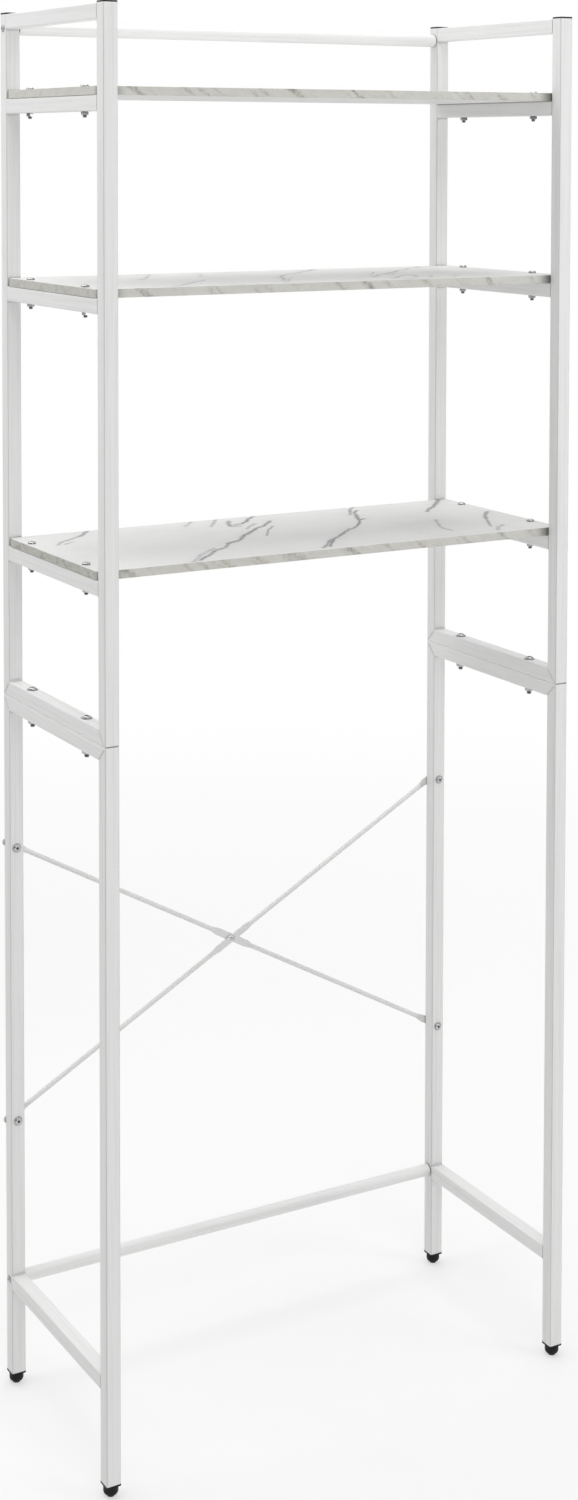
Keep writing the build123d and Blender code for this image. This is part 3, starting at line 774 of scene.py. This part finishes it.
def rail_fasteners(name, screw_size, nut_size, head_heights, nut_tops, steel):
    """Vertical screws with their heads on top and their nuts underneath."""
    places = rail_screw_places(f"{name}_screws", screw_size["brim"] or screw_size["head"])
    screw = screw_rings(screw_size, min(head_heights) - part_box(f"{name}_screws")[0].z)
    nut = nut_rings(nut_size)
    heads = [(x, y, z) for z in head_heights for x, y in places]
    tails = [(x, y, z - nut_size["height"]) for z in nut_tops for x, y in places]
    screws = [(screw, at(place, spin=spin_for(i))) for i, place in enumerate(heads)]
    nuts = [(nut, at(place, spin=spin_for(i + 5))) for i, place in enumerate(tails)]
    piece(f"{name}_screws_domed", screws, steel, "rack", [f"{name}_screws"])
    piece(f"{name}_nuts_hexagon", nuts, steel, "rack", [f"{name}_nuts"], wrap=True)


def all_rail_fasteners(steel):
    """Screws and nuts of the shelves, then those that join the upper frames to the lower ones."""
    heads = [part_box(f"{shelf}_shelf_board")[1].z for shelf in SHELVES]
    nut_tops = [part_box(f"upper_left_{shelf}_shelf_rail")[0].z for shelf in SHELVES]
    rail_fasteners("shelf", SHELF_SCREW, M5_NUT, heads, nut_tops, steel)
    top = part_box("upper_left_bottom_rail")[1].z
    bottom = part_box("lower_left_top_rail")[0].z
    rail_fasteners("frame", JOINT_SCREW, M6_NUT, [top], [bottom], steel)


def brace_fasteners(steel):
    """M5 screws through the rear posts into the brace, their nuts behind, and the rivet."""
    low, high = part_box("brace_screws")
    front = low.y + BRACE_SCREW["height"]
    heights = (low.z + BRACE_SCREW["brim"], high.z - BRACE_SCREW["brim"])
    places = [(middle_of(f"lower_{side}_rear_post").x, z) for side in SIDES for z in heights]
    screw = screw_rings(BRACE_SCREW, high.y - front)
    screws = [(screw, at((x, front, z), (0, -1, 0), spin_for(i)))
              for i, (x, z) in enumerate(places)]
    piece("brace_screws_domed", screws, steel, "rack", ["brace_screws"])
    nut_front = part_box("brace_nuts")[0].y
    nut = nut_rings(M5_NUT)
    nuts = [(nut, at((x, nut_front, z), (0, 1, 0), spin_for(i + 3)))
            for i, (x, z) in enumerate(places)]
    piece("brace_nuts_hexagon", nuts, steel, "rack", ["brace_nuts"], wrap=True)
    low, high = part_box("brace_rivet")
    head = (high.z - low.z) / 2
    half = (high.y - low.y) / 2 - RIVET_HEIGHT
    rivet = rivet_rings(RIVET_SHANK * head, head, RIVET_HEIGHT, half)
    piece("brace_rivet_domed", [(rivet, at(middle_of("brace_rivet"), (0, 1, 0)))], steel,
          "rack", ["brace_rivet"])


def tube_screws(steel):
    """Screws through the rear posts into the ends of both round tubes."""
    low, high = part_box("rear_tube_screws")
    shells = []
    head = TUBE_SCREW["height"]
    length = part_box("rear_tube_plugs")[0].x - low.x - head + SCREW_REACH
    screw = screw_rings(TUBE_SCREW, length)
    for node in ("rear_lower_tube", "rear_upper_tube"):
        centre = middle_of(node)
        for way, x in ((-1, low.x + head), (1, high.x - head)):
            place = (x, centre.y, centre.z)
            shells.append((screw, at(place, (way, 0, 0), spin_for(len(shells) + 7))))
    piece("rear_tube_screws_domed", shells, steel, "rack", ["rear_tube_screws"])


def studs(steel):
    """Threaded stud of each levelling foot, riding on the stud's own body."""
    for place in PLACES:
        node = f"foot_stud_{place}"
        low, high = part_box(node)
        centre = middle_of(node)
        matrix = Matrix.Translation((centre.x, centre.y, 0))
        piece(f"{node}_threaded", [(stud_rings(low.z, high.z), matrix)], steel,
              f"stud_{place}", [node])


def rail_welds(node, faces, seed):
    """Fillet welds under or over both ends of a rail that butts against its posts."""
    low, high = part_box(node)
    centre = (low + high) / 2
    length = (high.x - low.x) * WELD_SHARE
    shells = []
    for y, inward in ((low.y, 1), (high.y, -1)):
        for z, up in faces:
            axes = Matrix(((1, 0, 0), (0, inward, 0), (0, 0, up))).to_4x4()
            rings = weld_rings(length, seed + len(shells) * 1.7 + y * 11)
            shells.append((rings, Matrix.Translation((centre.x, y, z)) @ axes))
    return shells


def mitre_welds(rail, up, seed):
    """Fillet weld inside both mitred corners of a frame, and the low seam on both sides of each."""
    low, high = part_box(rail)
    centre = (low + high) / 2
    tube = high.z - low.z
    inner = high.z if up > 0 else low.z
    shells = []
    for y, inward in ((low.y, 1), (high.y, -1)):
        axes = Matrix(((1, 0, 0), (0, inward, 0), (0, 0, up))).to_4x4()
        place = Matrix.Translation((centre.x, y + inward * tube, inner))
        shells.append((weld_rings(tube * WELD_SHARE, seed + y * 13), place @ axes))
        for side in (-1, 1):
            across = Vector((side, 0, 0))
            along = Vector((0, inward, up)).normalized()
            turned = Matrix((along, across.cross(along), across)).transposed().to_4x4()
            middle = Vector((centre.x + side * tube / 2, y + inward * tube / 2, centre.z))
            rings = seam_rings(tube * SEAM_SHARE, seed + side * 3.7)
            shells.append((rings, Matrix.Translation(middle) @ turned))
    return shells


def all_welds(coat):
    """One piece for the welds of each of the four side frames."""
    for index, side in enumerate(SIDES):
        seed = 10.0 * index
        upper = mitre_welds(f"upper_{side}_bottom_rail", 1, seed + 1)
        for name in ("top_rail", *(f"{shelf}_shelf_rail" for shelf in SHELVES)):
            node = f"upper_{side}_{name}"
            seed += 2.3
            upper += rail_welds(node, [(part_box(node)[0].z, -1)], seed)
        piece(f"welds_upper_{side}", upper, coat, "rack", sharp=50)
        lower = mitre_welds(f"lower_{side}_top_rail", -1, seed + 4)
        node = f"lower_{side}_low_rail"
        low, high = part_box(node)
        lower += rail_welds(node, [(low.z, -1), (high.z, 1)], seed + 6)
        piece(f"welds_lower_{side}", lower, coat, "rack", sharp=50)


def paint(node, material):
    """Gives a CAD node its one material."""
    data = frame["nodes"][node].data
    data.materials.clear()
    data.materials.append(material)


def powder_coats():
    """The coats of posts, rails, brace rods, round tubes and welds. All but the last are found by
    the last word of a node's name."""
    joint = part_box("lower_left_front_post")[1].z
    return {kind: powder_coat(f"powder_coat_{kind}", grain, tone, joint)
            for kind, (grain, tone) in COATS.items()}


def paint_cad_nodes(coats, plastic, steel):
    """Every CAD node gets the material that its slot in the record names."""
    finishes = {"black_plastic": plastic, "plated_steel": steel}
    for part in frame["record"]["subparts"]:
        node, slot = part["node"], part["material_slot"]
        if slot in finishes:
            paint(node, finishes[slot])
        elif slot == "white_powder_coat":
            paint(node, coats[node.rsplit("_", 1)[1]])
    group = vein_group()
    for shelf, (turn, shift, boldness_and_shade) in CUTS.items():
        middle = middle_of(f"{shelf}_shelf_board")
        board = marble_laminate(f"marble_laminate_{shelf}", group, middle, turn, shift, boldness_and_shade)
        paint(f"{shelf}_shelf_board", board)
        front_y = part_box(f"{shelf}_shelf_edge_band")[0].y - middle.y
        band = edge_band(f"edge_band_{shelf}", middle, front_y, STREAKS[shelf], END_SHADE[shelf])
        paint(f"{shelf}_shelf_edge_band", band)


def floor():
    """Round floor far wider than the view."""
    mesh = bmesh.new()
    bmesh.ops.create_circle(mesh, cap_ends=True, radius=FLOOR_RADIUS, segments=96)
    data = bpy.data.meshes.new("floor")
    mesh.to_mesh(data)
    mesh.free()
    data.materials.append(studio_floor())
    made = bpy.data.objects.new("floor", data)
    made.location.z = LOW.z - FLOOR_DROP
    bpy.context.scene.collection.objects.link(made)


def softbox(name, place, width, height, power):
    """Large rectangular light aimed at the middle of the rack and unseen by the camera."""
    light = bpy.data.lights.new(name, "AREA")
    light.shape = "RECTANGLE"
    light.size = width
    light.size_y = height
    light.energy = power
    lamp = bpy.data.objects.new(name, light)
    lamp.location = place
    aim = MIDDLE - Vector(place)
    lamp.rotation_euler = aim.to_track_quat("-Z", "Y").to_euler()
    lamp.visible_camera = False
    bpy.context.scene.collection.objects.link(lamp)


def studio_lights():
    """Softboxes on the right and in front, a large one overhead, and a small one to the left."""
    softbox("softbox_right", (3.0, -3.0, 1.9), 1.6, 2.6, 34)
    softbox("softbox_left", (-1.3, 0.35, 2.15), 0.6, 1.2, 5)
    softbox("softbox_top", (0.0, 0.3, 4.6), 3.4, 3.0, 76)
    softbox("softbox_front", (-0.6, -4.4, 3.9), 2.6, 2.2, 58)


def studio_world():
    """Surroundings that look plain white. As light they are brightest above and behind the rack."""
    world = bpy.data.worlds.new("studio")
    world.use_nodes = True
    bpy.context.scene.world = world
    tree = world.node_tree
    tree.nodes.clear()
    graph = Graph(tree)
    direction = graph.add("TexCoord", {}).outputs["Generated"]
    parts = graph.add("SeparateXYZ", {0: direction}).outputs
    sky = graph.smooth(parts[2], -0.1, 0.9, 0.16, 0.50)
    behind = graph.smooth(parts[1], 0.0, 0.9, 0.0, 0.50)
    strength = graph.math("ADD", sky, behind)
    light = graph.add("Background", {"Color": WHITE, "Strength": strength})
    seen = graph.add("Background", {"Color": WHITE, "Strength": 1.0})
    camera_ray = graph.add("LightPath", {}).outputs["Is Camera Ray"]
    mixed = graph.add("MixShader", {0: camera_ray, 1: light.outputs[0], 2: seen.outputs[0]})
    graph.add("OutputWorld", {"Surface": mixed.outputs[0]})


def camera():
    """Camera at its named place, turned right, then down, then rolled."""
    data = bpy.data.cameras.new("camera")
    data.lens = CAMERA_LENS
    data.sensor_width = SENSOR
    data.shift_y = CAMERA_SHIFT
    data.dof.use_dof = False
    made = bpy.data.objects.new("camera", data)
    stand = Vector((MIDDLE.x + CAMERA_SIDE, MIDDLE.y + CAMERA_FRONT, LOW.z + CAMERA_HEIGHT))
    turn = Matrix.Rotation(-CAMERA_YAW, 4, "Z") @ Matrix.Rotation(pi / 2 - CAMERA_DOWN, 4, "X")
    made.matrix_world = Matrix.Translation(stand) @ turn @ Matrix.Rotation(CAMERA_ROLL, 4, "Z")
    bpy.context.scene.collection.objects.link(made)
    bpy.context.scene.camera = made


def colour_management():
    """Plain display transform, so that white stays white."""
    settings = bpy.context.scene.view_settings
    settings.view_transform = "Standard"
    settings.look = "None"
    settings.exposure = 0.0
    settings.gamma = 1.0


coats = powder_coats()
steel = zinc_plate()
paint_cad_nodes(coats, black_plastic(), steel)
all_rail_fasteners(steel)
brace_fasteners(steel)
tube_screws(steel)
studs(steel)
all_welds(coats["weld"])
floor()
studio_lights()
studio_world()
camera()
colour_management()
